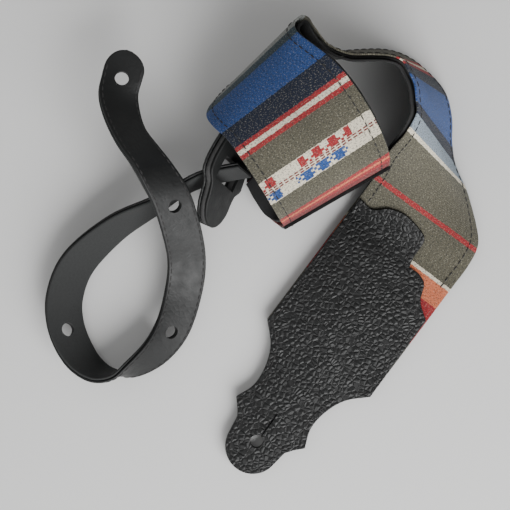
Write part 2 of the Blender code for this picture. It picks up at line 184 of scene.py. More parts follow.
TAIL_ROUTE = [
    (-5.0, 40.8, 20.0, 148, 68),
    (-14.0, 39.2, 20.0, 148, 68),
    (-24.5, 36.6, 20.3, 144, 73),
    (-35.0, 31.8, 20.0, 135, 78),
    (-48.0, 24.0, 17.5, 126, 72),
    (-68.0, 13.0, 12.0, 122, 55),
    (-86.0, -3.4, 9.0, 150, 38),
    (-93.0, -20.0, 8.0, 172, 32),
    (-92.4, -34.8, 8.0, 190, 34),
    (-86.5, -48.0, 8.6, 214, 44),
    (-78.4, -56.0, 9.6, 238, 62),
    (-69.5, -58.3, 10.2, 260, 84),
    (-60.0, -55.5, 10.0, 110, 66),
    (-48.4, -47.0, 9.2, 128, 46),
    (-40.0, -34.7, 8.4, 148, 32),
    (-35.0, -18.3, 9.5, 165, 25),
    (-33.0, -4.0, 15.0, 180, 20),
    (-34.4, 9.5, 25.0, 195, 17),
    (-39.0, 26.0, 36.5, 207, 20),
    (-45.0, 37.0, 41.5, 213, 32),
    (-51.0, 46.0, 42.5, 218, 42),
    (-57.5, 55.0, 40.0, 212, 44),
    (-62.0, 65.0, 36.0, 194, 36),
    (-64.2, 75.0, 33.0, 180, 22),
    (-62.5, 84.0, 31.5, 170, 6),
    (-59.0, 96.0, 31.5, 160, 0),
]


def direction(azimuth: float, elevation: float) -> np.ndarray:
    """Give a unit vector.

    Args:
        azimuth: Angle in the plane, in degrees.
        elevation: Angle above the plane, in degrees.

    Returns:
        The vector.
    """
    a, e = math.radians(azimuth), math.radians(elevation)
    return np.array([math.cos(a) * math.cos(e), math.sin(a) * math.cos(e), math.sin(e)])


class Route:
    """A smooth strip surface: a middle line and the left edge's direction along it."""

    def __init__(self, middles: Sequence[np.ndarray], lefts: Sequence[np.ndarray]) -> None:
        self.fine_m = self.smooth(np.array(middles, float))
        self.fine_l = self.smooth(np.array(lefts, float))
        chord = np.linalg.norm(np.diff(self.fine_m, axis=0), axis=1)
        self.along = np.concatenate([[0.0], np.cumsum(chord)])
        self.length = float(self.along[-1])

    @staticmethod
    def smooth(points: np.ndarray, parts: int = 16) -> np.ndarray:
        """Give a Catmull-Rom curve through the points."""
        ends = np.vstack([2 * points[0] - points[1], points, 2 * points[-1] - points[-2]])
        rows = []
        for a, b, c, d in zip(ends[:-3], ends[1:-2], ends[2:-1], ends[3:]):
            for t in np.arange(parts) / parts:
                rows.append(0.5 * (2 * b + (c - a) * t + (2 * a - 5 * b + 4 * c - d) * t**2
                                   + (3 * b - a - 3 * c + d) * t**3))
        rows.append(points[-1])
        return np.array(rows)

    def _look_up(self, s: np.ndarray, table: np.ndarray) -> np.ndarray:
        """Interpolate a table of vectors at distances along the route."""
        return np.stack([np.interp(s, self.along, table[:, k]) for k in range(3)], axis=-1)

    def lay(self, s: np.ndarray, across: np.ndarray, height: np.ndarray) -> np.ndarray:
        """Carry pattern points onto the surface.

        Args:
            s: Distances along the route.
            across: Offsets towards the left edge.
            height: Heights along the face's normal.

        Returns:
            World points, one row each.
        """
        s = np.asarray(s, float)
        reach = 2.5 * MM
        ahead = self._look_up(np.minimum(s + reach, self.length), self.fine_m)
        heading = ahead - self._look_up(np.maximum(s - reach, 0.0), self.fine_m)
        heading /= np.linalg.norm(heading, axis=-1, keepdims=True)
        left = self._look_up(s, self.fine_l)
        left /= np.linalg.norm(left, axis=-1, keepdims=True)
        normal = np.cross(heading, left)
        normal /= np.linalg.norm(normal, axis=-1, keepdims=True)
        across, height = np.asarray(across)[..., None], np.asarray(height)[..., None]
        return self._look_up(s, self.fine_m) + left * across + normal * height + PILE_SHIFT

    def axes(self, s: float) -> tuple[np.ndarray, np.ndarray, np.ndarray]:
        """Give the middle, the left direction and the normal at one distance."""
        middle = self.lay(np.array([s]), np.zeros(1), np.zeros(1))[0]
        left = self.lay(np.array([s]), np.ones(1), np.zeros(1))[0] - middle
        normal = self.lay(np.array([s]), np.zeros(1), np.ones(1))[0] - middle
        return middle, left, normal

    def nearest(self, x: float, y: float, first: float = 0.0) -> float:
        """Give the distance of the place nearest to a plan point of the layout."""
        on = self.along >= first
        gaps = np.hypot(self.fine_m[on, 0] - x, self.fine_m[on, 1] - y)
        return float(self.along[on][gaps.argmin()])


def main_route(strap: StrapSizes, tabs: TabSizes) -> Route:
    """Give the strap's middle surface, from the front tab's round end to the rear tab's."""
    run = np.array([math.cos(TAB_HEADING), math.sin(TAB_HEADING), 0.0])
    left = np.array([-run[1], run[0], 0.0])
    start = TAB_ORIGIN + np.array([0, 0, strap.stack / 2])
    middles = [start + run * u for u in np.linspace(-tabs.neck, FLAT_LENGTH, 10)]
    lefts = [left] * 10
    for x, y, z, azimuth, elevation in MAIN_ROUTE:
        lift = strap.stack / 2 * math.cos(math.radians(elevation))
        middles.append(np.array([x, y, z]) * MM + np.array([0, 0, lift]))
        lefts.append(direction(azimuth, elevation))
    return Route(middles, lefts)


def tail_route() -> Route:
    """Give the tail's middle surface, from its inner end to its round tip."""
    return Route([np.array(row[:3]) * MM for row in TAIL_ROUTE],
                 [direction(*row[3:]) for row in TAIL_ROUTE])


class Graph:
    """Short-hand for building a material's node tree."""

    def __init__(self, name: str) -> None:
        self.material = bpy.data.materials.new(name)
        self.material.use_nodes = True
        self.tree = self.material.node_tree
        self.shader = self.tree.nodes["Principled BSDF"]
        uv = self.tree.nodes.new("ShaderNodeUVMap")
        uv.uv_map = "pattern"
        parts = self.tree.nodes.new("ShaderNodeSeparateXYZ")
        self.tree.links.new(uv.outputs[0], parts.inputs[0])
        self.place, self.s, self.v = uv.outputs[0], parts.outputs[0], parts.outputs[1]

    def put(self, socket: bpy.types.NodeSocket, value: object) -> None:
        """Link or set a socket."""
        if isinstance(value, bpy.types.NodeSocket):
            self.tree.links.new(value, socket)
        else:
            socket.default_value = value

    def math(self, kind: str, a: object, b: object = 0.0, c: object = 0.0) -> bpy.types.NodeSocket:
        """Add a Math node."""
        node = self.tree.nodes.new("ShaderNodeMath")
        node.operation = kind
        for k, value in enumerate((a, b, c)):
            self.put(node.inputs[k], value)
        return node.outputs[0]

    def window(self, x: object, low: float, high: float) -> bpy.types.NodeSocket:
        """Give 1 where x is between low and high."""
        return self.math("MULTIPLY", self.math("GREATER_THAN", x, low), self.math("LESS_THAN", x, high))

    def stretch(self, along: float, across: float) -> bpy.types.NodeSocket:
        """Give the pattern's coordinates with their own scale each way."""
        node = self.tree.nodes.new("ShaderNodeMapping")
        node.inputs["Scale"].default_value = (along, across, 1.0)
        self.put(node.inputs["Vector"], self.place)
        return node.outputs[0]

    def noise(self, along: float, across: float, detail: float = 2.0) -> bpy.types.NodeSocket:
        """Add noise with a cell size set by the two scales."""
        node = self.tree.nodes.new("ShaderNodeTexNoise")
        node.inputs["Scale"].default_value = 1.0
        node.inputs["Detail"].default_value = detail
        self.put(node.inputs["Vector"], self.stretch(along, across))
        return node.outputs["Fac"]

    def cells(self, along: float, across: float, feature: str) -> bpy.types.NodeSocket:
        """Add a Voronoi texture and give its distance."""
        node = self.tree.nodes.new("ShaderNodeTexVoronoi")
        node.feature = feature
        node.inputs["Scale"].default_value = 1.0
        self.put(node.inputs["Vector"], self.stretch(along, across))
        return node.outputs["Distance"]

    def ramp(self, x: object, low: float, high: float, a: float, b: float) -> bpy.types.NodeSocket:
        """Map a range onto another one, clamped."""
        node = self.tree.nodes.new("ShaderNodeMapRange")
        for socket, value in zip(node.inputs, (x, low, high, a, b)):
            self.put(socket, value)
        return node.outputs[0]

    def mix(self, share: object, a: object, b: object, blend: str = "MIX") -> bpy.types.NodeSocket:
        """Mix two colours."""
        node = self.tree.nodes.new("ShaderNodeMix")
        node.data_type = "RGBA"
        node.blend_type = blend
        for socket, value in ((node.inputs[0], share), (node.inputs[6], a), (node.inputs[7], b)):
            self.put(socket, (*value, 1.0) if isinstance(value, tuple) else value)
        return node.outputs[2]

    def bump(self, height: object, strength: float, distance: float) -> None:
        """Bump the surface, on top of any earlier bump."""
        node = self.tree.nodes.new("ShaderNodeBump")
        node.inputs["Strength"].default_value = strength
        node.inputs["Distance"].default_value = distance
        self.put(node.inputs["Height"], height)
        earlier = self.shader.inputs["Normal"].links
        if earlier:
            self.put(node.inputs["Normal"], earlier[0].from_socket)
        self.put(self.shader.inputs["Normal"], node.outputs[0])

    def colour(self, value: object) -> None:
        """Set or link the base colour."""
        self.put(self.shader.inputs["Base Color"], (*value, 1.0) if isinstance(value, tuple) else value)


@dataclass(frozen=True)
class Stripe:
    """One woven stripe: where it starts along the main route, in mm, and its colour."""

    start: float
    colour: tuple[float, float, float]


OLIVE = (0.088, 0.082, 0.058)
CREAM = (0.68, 0.62, 0.49)
RED = (0.30, 0.022, 0.026)
# DARK_RED colours the dashed lines and, as the last stripe, the red cloth in painted shade.
DARK_RED = (0.16, 0.018, 0.020)
ORANGE = (0.58, 0.16, 0.075)
NAVY = (0.008, 0.013, 0.030)
BLUE = (0.020, 0.066, 0.230)
PALE_BLUE = (0.22, 0.27, 0.32)
TEAL = (0.022, 0.045, 0.060)
GREY = (0.24, 0.25, 0.24)

# The last stripe, dark red from 399.5 mm on, is painted shade: the red cloth that curls under the front tab,
# darkened to stand in for its shadow.
STRIPES = (
    Stripe(0, OLIVE), Stripe(100, RED), Stripe(121.5, ORANGE), Stripe(132.0, CREAM),
    Stripe(133.8, OLIVE), Stripe(156.6, RED), Stripe(159.4, OLIVE), Stripe(186.6, CREAM),
    Stripe(188.8, PALE_BLUE), Stripe(196.5, NAVY), Stripe(203.5, BLUE), Stripe(222.0, NAVY),
    Stripe(229.5, RED), Stripe(232.3, CREAM), Stripe(234.5, RED), Stripe(237.0, OLIVE),
    Stripe(300.0, GREY), Stripe(317.0, TEAL), Stripe(323.0, BLUE), Stripe(341.0, NAVY),
    Stripe(351.3, RED), Stripe(353.4, CREAM), Stripe(355.6, RED), Stripe(357.8, OLIVE),
    Stripe(370.6, CREAM), Stripe(382.8, OLIVE), Stripe(393.4, RED), Stripe(395.4, ORANGE),
    Stripe(396.9, RED), Stripe(399.5, DARK_RED),
)


class Finishes:
    """The materials, one for each slot."""

    def cloth(self) -> bpy.types.Material:
        """Coarse woven stripes with a cream band that carries small stepped figures."""
        g = Graph("woven stripes")
        wander = g.math("MULTIPLY", g.math("SUBTRACT", g.noise(260, 900, 1.0), 0.5), 0.9 * MM)
        along = g.math("ADD", g.s, wander)
        colour = STRIPES[0].colour
        for stripe in STRIPES[1:]:
            colour = g.mix(g.math("GREATER_THAN", along, stripe.start * MM), colour, stripe.colour)
        colour = self._figures(g, colour)
        flecks = g.math("GREATER_THAN", g.noise(2300, 1150, 1.0), 0.615)
        colour = g.mix(g.math("MULTIPLY", flecks, 0.26), colour, (0.50, 0.47, 0.38))
        specks = g.math("GREATER_THAN", g.noise(2000, 1000, 0.0), 0.60)
        colour = g.mix(g.math("MULTIPLY", specks, 0.50), colour, (0.010, 0.011, 0.014))
        shade = g.ramp(g.noise(30, 30), 0.3, 0.7, 0.86, 1.10)
        tint = g.tree.nodes.new("ShaderNodeCombineColor")
        for k in range(3):
            g.put(tint.inputs[k], shade)
        g.colour(g.mix(1.0, colour, tint.outputs[0], "MULTIPLY"))
        rib_pitch, pick_pitch = 1.05 * MM, 0.95 * MM
        ribs = g.math("SINE", g.math("MULTIPLY", g.s, 2 * math.pi / rib_pitch))
        picks = g.math("SINE", g.math("MULTIPLY", g.v, 2 * math.pi / pick_pitch))
        g.bump(g.math("MULTIPLY", ribs, picks), 0.55, 0.28 * MM)
        g.bump(g.noise(1400, 600, 3.0), 0.45, 0.30 * MM)
        g.shader.inputs["Roughness"].default_value = 0.92
        g.shader.inputs["Specular IOR Level"].default_value = 0.18
        g.shader.inputs["Sheen Weight"].default_value = 0.10
        g.shader.inputs["Sheen Roughness"].default_value = 0.6
        return g.material

    @staticmethod
    def _figures(g: Graph, colour: object) -> object:
        """Add the stepped figures and the dashed lines to the cream band."""
        cell_s, cell_v = 1.15 * MM, 1.5 * MM
        middle, dash_pitch, line_width = 376.7 * MM, 3.0 * MM, 0.7
        row = g.math("SUBTRACT", g.s, middle)
        dash = g.math("GREATER_THAN", g.math("FRACT", g.math("DIVIDE", g.v, dash_pitch)), 0.30)
        for low in (-0.95, 0.25):
            line = g.math("MULTIPLY", g.window(row, low * MM, (low + line_width) * MM), dash)
            colour = g.mix(line, colour, DARK_RED)
        step_v = g.math("FLOOR", g.math("DIVIDE", g.v, cell_v))
        step_s = g.math("FLOOR", g.math("DIVIDE", row, cell_s))
        for side, paint in ((-1, RED), (1, BLUE)):
            rise = g.math("MULTIPLY", step_s, float(side))
            reach = g.window(rise, 0.6 if side > 0 else 1.6, 4.4 if side > 0 else 5.4)
            edge = g.math("PINGPONG", step_v, 3.0)
            ragged = g.math("LESS_THAN", g.math("ADD", rise, edge), 6.5)
            skip = g.math("GREATER_THAN", g.math("PINGPONG", g.math("ADD", step_v, rise), 1.0), 0.35)
            gap = g.math("MAXIMUM", skip, g.math("LESS_THAN", edge, 1.5))
            shift = 2.5 * MM * side
            place = g.math("MAXIMUM", g.window(g.math("ADD", g.v, shift), -12 * MM, 17 * MM),
                           g.window(g.v, -31.75 * MM, -23.5 * MM))
            figure = g.math("MULTIPLY", g.math("MULTIPLY", reach, ragged), g.math("MULTIPLY", gap, place))
            colour = g.mix(figure, colour, paint)
        return colour

    def leather(self, name: str, pebble: float, rough: float) -> bpy.types.Material:
        """Black leather, with painted shade in the grain's pits.

        Args:
            name: The material's name.
            pebble: How deep the grain is, and how dark the painted shade in its pits, from 0 to 1.
            rough: Roughness of the finish.

        Returns:
            The material.
        """
        g = Graph(name)
        worn = g.ramp(g.noise(45, 45, 3.0), 0.35, 0.7, 0.0, 1.0)
        colour = g.mix(worn, (0.0055, 0.0060, 0.0060), (0.0100, 0.0106, 0.0106))
        pits = g.cells(430, 400, "DISTANCE_TO_EDGE")
        domes = g.ramp(pits, 0.0, 0.32, 0.0, 1.0)
        # The pits between the grain's domes are darkened: painted shade in the hollows.
        g.colour(g.mix(g.math("MULTIPLY", g.math("SUBTRACT", 1.0, domes), 0.5 * pebble), colour,
                       (0.004, 0.004, 0.004)))
        g.bump(domes, 0.25 + 0.65 * pebble, (0.08 + 0.30 * pebble) * MM)
        g.bump(g.noise(2600, 2600, 2.0), 0.20, 0.10 * MM)
        g.bump(g.noise(60, 60, 2.0), 0.35, 1.0 * MM)
        g.put(g.shader.inputs["Roughness"], g.ramp(g.noise(160, 160), 0.3, 0.7, rough - 0.06, rough + 0.08))
        g.shader.inputs["Specular IOR Level"].default_value = 0.34
        return g.material

    def plain(self, name: str, colour: tuple[float, float, float], nap: float) -> bpy.types.Material:
        """Matt suede, web or thread, with a fine nap."""
        g = Graph(name)
        dark = tuple(c * 0.6 for c in colour)
        g.colour(g.mix(g.noise(900, 900, 3.0), dark, tuple(c * 1.35 for c in colour)))
        g.bump(g.noise(1800, 1800, 3.0), nap, 0.25 * MM)
        g.shader.inputs["Roughness"].default_value = 0.9
        g.shader.inputs["Sheen Weight"].default_value = 0.05
        return g.material

    def table(self) -> bpy.types.Material:
        """Smooth pale table."""
        material = bpy.data.materials.new("table")
        material.use_nodes = True
        shader = material.node_tree.nodes["Principled BSDF"]
        shader.inputs["Base Color"].default_value = (0.68, 0.68, 0.675, 1.0)
        shader.inputs["Roughness"].default_value = 0.75
        shader.inputs["Specular IOR Level"].default_value = 0.2
        return material


def new_object(name: str, mesh: bpy.types.Mesh, material: bpy.types.Material) -> bpy.types.Object:
    """Link a mesh into the scene with one material, smooth but for its sharp edges."""
    obj = bpy.data.objects.new(name, mesh)
    bpy.context.scene.collection.objects.link(obj)
    mesh.materials.clear()
    mesh.materials.append(material)
    mesh.polygons.foreach_set("use_smooth", [True] * len(mesh.polygons))
    mesh.set_sharp_from_angle(angle=SHARP)
    return obj


def write_pattern(mesh: bpy.types.Mesh, pattern: np.ndarray) -> None:
    """Store each vertex's place in the flat pattern as its texture coordinates."""
    layer = mesh.uv_layers.new(name="pattern")
    corners = np.empty(len(mesh.loops), int)
    mesh.loops.foreach_get("vertex_index", corners)
    layer.data.foreach_set("uv", pattern[corners].astype(np.float32).ravel())


@dataclass
class Strip:
    """A closed layer with rounded edges, from one distance along a route to another."""

    name: str
    route: Route
    start: float
    end: float
    half: Callable[[float], float]
    low: float
    high: float
    step: float = 1.3 * MM
    columns: int = 30

    def _section(self, half: float) -> tuple[np.ndarray, np.ndarray]:
        """Give the offsets and heights round one cross section."""
        thick = self.high - self.low
        soft = min(0.45 * thick, half * 0.4)
        turn = np.radians([-65, -30, 0, 30, 65])
        flat = np.linspace(-(half - soft), half - soft, self.columns + 1)
        middle = (self.low + self.high) / 2
        across = np.concatenate([flat, half - soft + soft * np.cos(turn),
                                 flat[::-1], -(half - soft) - soft * np.cos(turn)])
        height = np.concatenate([np.full(len(flat), self.low), middle + thick / 2 * np.sin(turn),
                                 np.full(len(flat), self.high), middle - thick / 2 * np.sin(turn)])
        return across, height

    def build(self, material: bpy.types.Material, extra: Iterable[float] = ()) -> bpy.types.Object:
        """Lay the strip.

        Args:
            material: Its finish.
            extra: More distances at which it needs a cross section.

        Returns:
            The new piece.
        """
        count = max(3, round((self.end - self.start) / self.step) + 1)
        rows = sorted({*np.linspace(self.start, self.end, count).tolist(), *extra})
        across, height = zip(*(self._section(self.half(s)) for s in rows))
        across, height = np.array(across), np.array(height)
        s = np.repeat(np.array(rows)[:, None], across.shape[1], axis=1)
        points = self.route.lay(s, across, height).reshape(-1, 3)
        n = across.shape[1]
        j = np.arange(n)
        faces = []
        for k in range(len(rows) - 1):
            a, b = k * n + j, k * n + (j + 1) % n
            faces.extend(np.stack([b, a, a + n, b + n], axis=1).tolist())
        faces.append(j.tolist())
        faces.append(((len(rows) - 1) * n + j[::-1]).tolist())
        mesh = bpy.data.meshes.new(self.name)
        mesh.from_pydata(points.tolist(), [], faces)
        write_pattern(mesh, np.stack([s, across], axis=-1).reshape(-1, 2))
        return new_object(self.name, mesh, material)


def cutter(middle: np.ndarray, x_axis: np.ndarray, z_axis: np.ndarray,
           size: tuple[float, float, float], is_round: bool) -> bpy.types.Object:
    """Make a box or a round tool that cuts along z_axis."""
    builder = bmesh.new()
    if is_round:
        bmesh.ops.create_cone(builder, cap_ends=True, segments=40, radius1=size[0] / 2,
                              radius2=size[0] / 2, depth=size[2])
    else:
        bmesh.ops.create_cube(builder, size=1.0)
        bmesh.ops.scale(builder, verts=builder.verts, vec=size)
    z = Vector(z_axis).normalized()
    y = z.cross(Vector(x_axis)).normalized()
    turn = Matrix((y.cross(z), y, z)).transposed().to_4x4()
    bmesh.ops.transform(builder, matrix=Matrix.Translation(Vector(middle)) @ turn, verts=builder.verts)
    mesh = bpy.data.meshes.new("tool")
    builder.to_mesh(mesh)
    builder.free()
    tool = bpy.data.objects.new("tool", mesh)
    bpy.context.scene.collection.objects.link(tool)
    return tool


def cut(pieces: Sequence[bpy.types.Object], tools: Sequence[bpy.types.Object]) -> None:
    """Cut every tool out of every piece, keep plain meshes, and remove the tools."""
    for piece in pieces:
        for tool in tools:
            modifier = piece.modifiers.new("cut", "BOOLEAN")
            modifier.operation = "DIFFERENCE"
            modifier.object = tool
        realise(piece)
        piece.data.set_sharp_from_angle(angle=SHARP)
    for tool in tools:
        bpy.data.objects.remove(tool, do_unlink=True)


def realise(piece: bpy.types.Object) -> None:
    """Replace a piece's mesh by what its modifiers make of it."""
    bpy.context.view_layer.update()
    graph = bpy.context.evaluated_depsgraph_get()
    mesh = bpy.data.meshes.new_from_object(piece.evaluated_get(graph))
    piece.modifiers.clear()
    piece.data = mesh


class StitchRow:
    """A row of separate stitches along a laid line, made with Geometry Nodes."""

    def __init__(self, sizes: StitchSizes, material: bpy.types.Material) -> None:
        self.sizes = sizes
        self.material = material
        self.group = self._group()

    def _group(self) -> bpy.types.NodeTree:
        """Build the node group: stitches spaced along the line and turned to follow it."""
        tree = bpy.data.node_groups.new("Stitch row", "GeometryNodeTree")
        face = tree.interface
        face.new_socket("Geometry", in_out="INPUT", socket_type="NodeSocketGeometry")
        for name, value in (("Stitch length", self.sizes.length), ("Pitch", self.sizes.pitch),
                            ("Thread diameter", self.sizes.diameter)):
            face.new_socket(name, in_out="INPUT", socket_type="NodeSocketFloat").default_value = value
        face.new_socket("Material", in_out="INPUT", socket_type="NodeSocketMaterial")
        face.new_socket("Geometry", in_out="OUTPUT", socket_type="NodeSocketGeometry")
        new, link = tree.nodes.new, tree.links.new
        source, result = new("NodeGroupInput"), new("NodeGroupOutput")
        curve, points = new("GeometryNodeMeshToCurve"), new("GeometryNodeCurveToPoints")
        points.mode = "LENGTH"
        ball, shape = new("GeometryNodeMeshUVSphere"), new("GeometryNodeTransform")
        ball.inputs["Segments"].default_value = 8
        ball.inputs["Rings"].default_value = 8
        ball.inputs["Radius"].default_value = 0.5
        scale = new("ShaderNodeCombineXYZ")
        copies, real = new("GeometryNodeInstanceOnPoints"), new("GeometryNodeRealizeInstances")
        finish = new("GeometryNodeSetMaterial")
        link(source.outputs["Geometry"], curve.inputs["Mesh"])
        link(curve.outputs["Curve"], points.inputs["Curve"])
        link(source.outputs["Pitch"], points.inputs["Length"])
        link(source.outputs["Thread diameter"], scale.inputs[0])
        link(source.outputs["Thread diameter"], scale.inputs[1])
        link(source.outputs["Stitch length"], scale.inputs[2])
        link(ball.outputs["Mesh"], shape.inputs["Geometry"])
        link(scale.outputs[0], shape.inputs["Scale"])
        link(points.outputs["Points"], copies.inputs["Points"])
        link(shape.outputs["Geometry"], copies.inputs["Instance"])
        link(points.outputs["Rotation"], copies.inputs["Rotation"])
        link(copies.outputs["Instances"], real.inputs["Geometry"])
        link(real.outputs["Geometry"], finish.inputs["Geometry"])
        link(source.outputs["Material"], finish.inputs["Material"])
        link(finish.outputs["Geometry"], result.inputs["Geometry"])
        return tree

    def build(self, name: str, points: np.ndarray) -> bpy.types.Object:
        """Sew a row along the points.

        Args:
            name: The piece's name.
            points: World points of the line, close together.

        Returns:
            The new piece, as a plain mesh.
        """
        mesh = bpy.data.meshes.new(name)
        mesh.from_pydata(points.tolist(), [(k, k + 1) for k in range(len(points) - 1)], [])
        obj = bpy.data.objects.new(name, mesh)
        bpy.context.scene.collection.objects.link(obj)
        modifier = obj.modifiers.new("stitches", "NODES")
        modifier.node_group = self.group
        for item in self.group.interface.items_tree:
            if item.in_out == "INPUT" and item.name == "Material":
                modifier[item.identifier] = self.material
        realise(obj)
        obj.data.polygons.foreach_set("use_smooth", [True] * len(obj.data.polygons))
        if not obj.data.uv_layers:
            obj.data.uv_layers.new(name="pattern")
        return obj


@dataclass
class Piece:
    """A finished piece, and what it stands for in the CAD part."""

    obj: bpy.types.Object
    body: Body
    slot: Slot
    nodes: tuple[str, ...]
    flat: tuple[float, float] | None = None
    area: float | None = None
    held: str = "folded"
    rests_on: tuple[str, ...] = ()

    def declare(self) -> None:
        """Attach the piece to the body that it moves with, and hide the CAD nodes that it stands for."""
        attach(self.obj, self.body.value)
        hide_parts(*self.nodes)


class MainStrap:
    """The woven strap: face cloth, inner web, suede backing and two edge seams."""

    def __init__(self, sizes: StrapSizes, tabs: TabSizes, route: Route) -> None:
        self.sizes, self.tabs, self.route = sizes, tabs, route

    def build(self, paints: Finishes, stitches: StitchRow) -> list[Piece]:
        """Lay the layers and sew the edges."""
        z = self.sizes
        start, end = self.tabs.neck + z.gap, self.route.length - self.tabs.neck
        full, inner = z.width / 2, z.width / 2 * z.seam_at
        low = -z.stack / 2
        web_low = low + z.backing + z.gap
        cloth = Strip("woven_cloth_face", self.route, start, end, lambda s: full,
                      z.stack / 2 - z.cloth, z.stack / 2, 1.2 * MM, 44).build(paints.cloth())
        web = Strip("webbing_core", self.route, start, end, lambda s: inner,
                    web_low, web_low + z.web, 3 * MM, 8).build(
                        paints.plain("webbing", (0.05, 0.05, 0.05), 0.6))
        back = Strip("suede_back", self.route, start, end, lambda s: full,
                     low, low + z.backing, 1.6 * MM, 26).build(
                         paints.plain("suede", (0.009, 0.009, 0.0095), 0.7))
        length = end - start
        pieces = [
            Piece(cloth, Body.STRAP, Slot.CLOTH, ("woven_face",), (z.width, length),
                  rests_on=("suede_back",)),
            Piece(web, Body.STRAP, Slot.WEB, ("inner_web",), (2 * inner, length),
                  rests_on=("suede_back",)),
            Piece(back, Body.STRAP, Slot.SUEDE, ("suede_backing",), (z.width, length),
                  rests_on=("floor",)),
        ]
        first = self.tabs.neck + self.tabs.front_lap + 1 * MM
        last = self.route.length - self.tabs.neck - self.tabs.rear_lap - 1 * MM
        cloth_lift = 0.12 * MM
        for side, sign, overlap in (("left", 1, 6 * MM), ("right", -1, 20 * MM)):
            s = np.arange(first - overlap, last, 1 * MM)
            line = self.route.lay(s, np.full(len(s), sign * inner), np.full(len(s), z.stack / 2 + cloth_lift))
            row = stitches.build(side + "_edge_stitches", line)
            pieces.append(Piece(row, Body.STRAP, Slot.THREAD, (side + "_edge_seam",)))
        return pieces


def smooth_run(points: Sequence[tuple[float, float]], parts: int = 10) -> list[tuple[float, float]]:
    """Give a smooth run of points between two corners, without the last corner."""
    line = Route.smooth(np.array([(*p, 0.0) for p in points], float), parts)
    return [(float(p[0]), float(p[1])) for p in line[:-1]]


def enclosed(outline: Sequence[tuple[float, float]]) -> float:
    """Give the area inside a closed outline."""
    pairs = zip(outline, [*outline[1:], outline[0]])
    return abs(sum(a[0] * b[1] - b[0] * a[1] for a, b in pairs)) / 2


